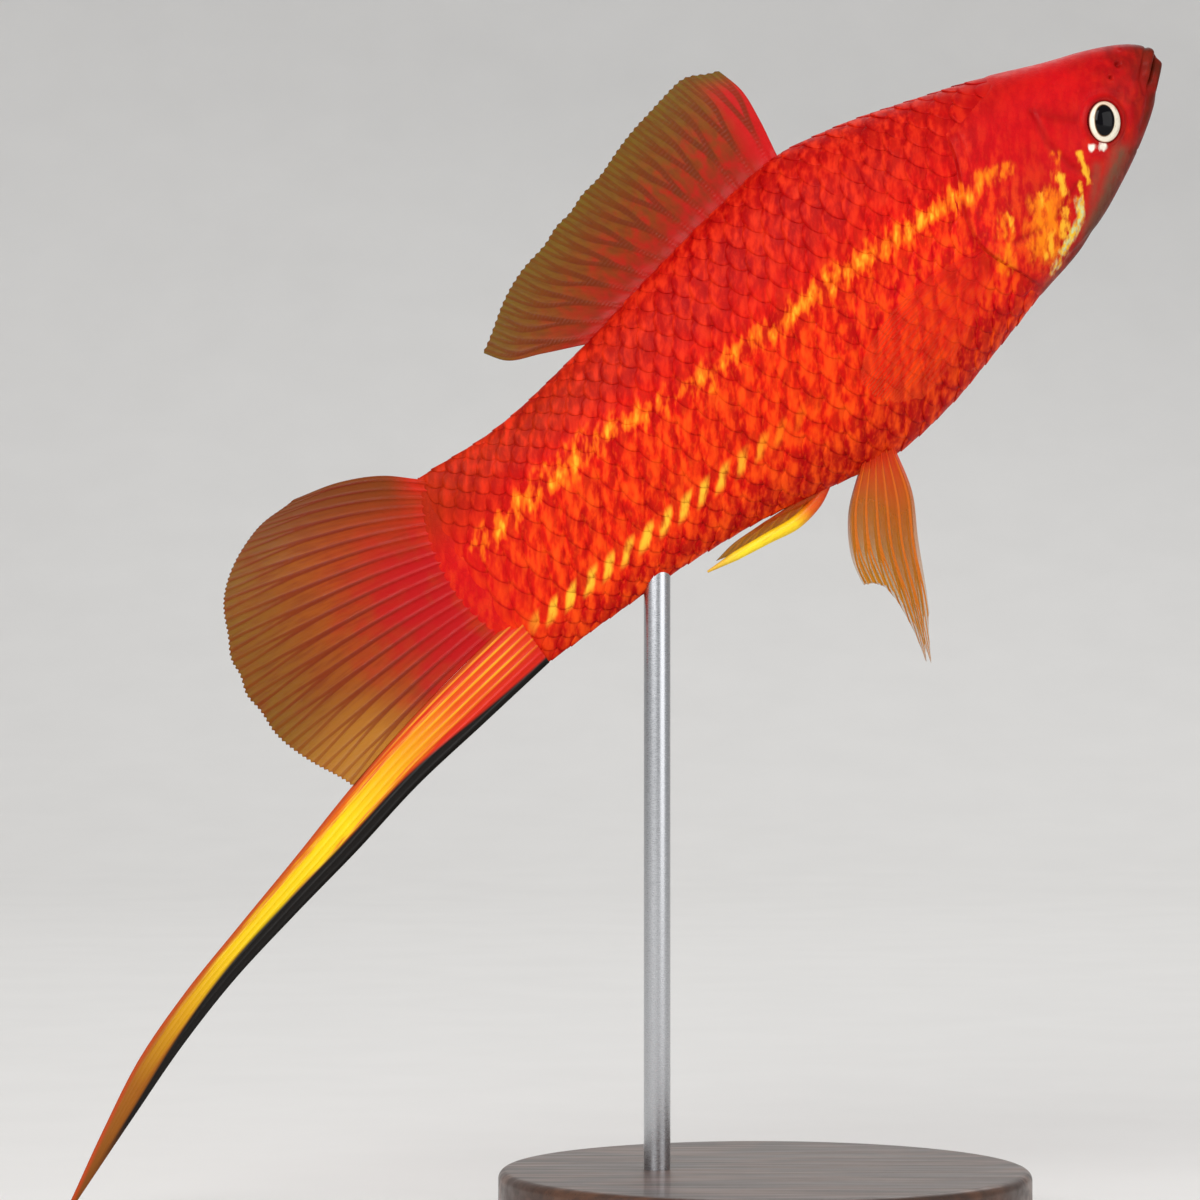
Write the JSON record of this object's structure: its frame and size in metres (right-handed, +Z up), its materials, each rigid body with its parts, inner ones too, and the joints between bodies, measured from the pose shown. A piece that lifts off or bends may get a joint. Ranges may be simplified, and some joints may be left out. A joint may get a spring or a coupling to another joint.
{
  "type": "swordtail fish model on a display stand",
  "caption": "Life-size model of a male red swordtail in mid swim, nose up, with raised dorsal fin, fanned tail and long sword, held by a rod on a flat round base.",
  "frame": {"origin": "on the floor, under the middle of the whole model's box", "axes": "+Z up, +X the way the fish faces, +Y out of its left flank"},
  "size_m": [0.0985, 0.048, 0.1062],
  "materials": {
    "skin_head": "satin crimson skin of the head",
    "skin_torso": "satin orange-red scaled skin",
    "skin_peduncle": "satin orange-red scaled skin",
    "skin_covers": "satin crimson gill cover with a gold lower edge",
    "eye_surface": "wet ivory iris round a black pupil",
    "fin_dorsal": "translucent orange-olive membrane with red flecks",
    "fin_tail": "translucent orange membrane, crimson at the root",
    "fin_sword_base": "yellow rays with a black lower margin",
    "fin_sword_tip": "yellow-brown rays with a dark lower margin",
    "fin_pelvics": "orange-red rays in a clear membrane",
    "fin_pectorals": "clear orange-red membrane",
    "fin_gonopodium": "bright yellow rod",
    "stand_wood": "oiled walnut",
    "stand_steel": "brushed steel rod"
  },
  "bodies": {
    "root": {"dorsal_fin": "fin_dorsal", "eye_left": "eye_surface", "eye_right": "eye_surface", "gill_cover_left": "skin_covers", "gill_cover_right": "skin_covers", "gonopodium": "fin_gonopodium", "head": "skin_head", "pectoral_fin_left": "fin_pectorals", "pectoral_fin_right": "fin_pectorals", "peduncle": "skin_peduncle", "pelvic_fin_left": "fin_pelvics", "pelvic_fin_right": "fin_pelvics", "stand_base": "stand_wood", "stand_rod": "stand_steel", "sword_base": "fin_sword_base", "sword_tip": "fin_sword_tip", "tail_fin": "fin_tail", "torso": "skin_torso"}
  },
  "joints": []
}
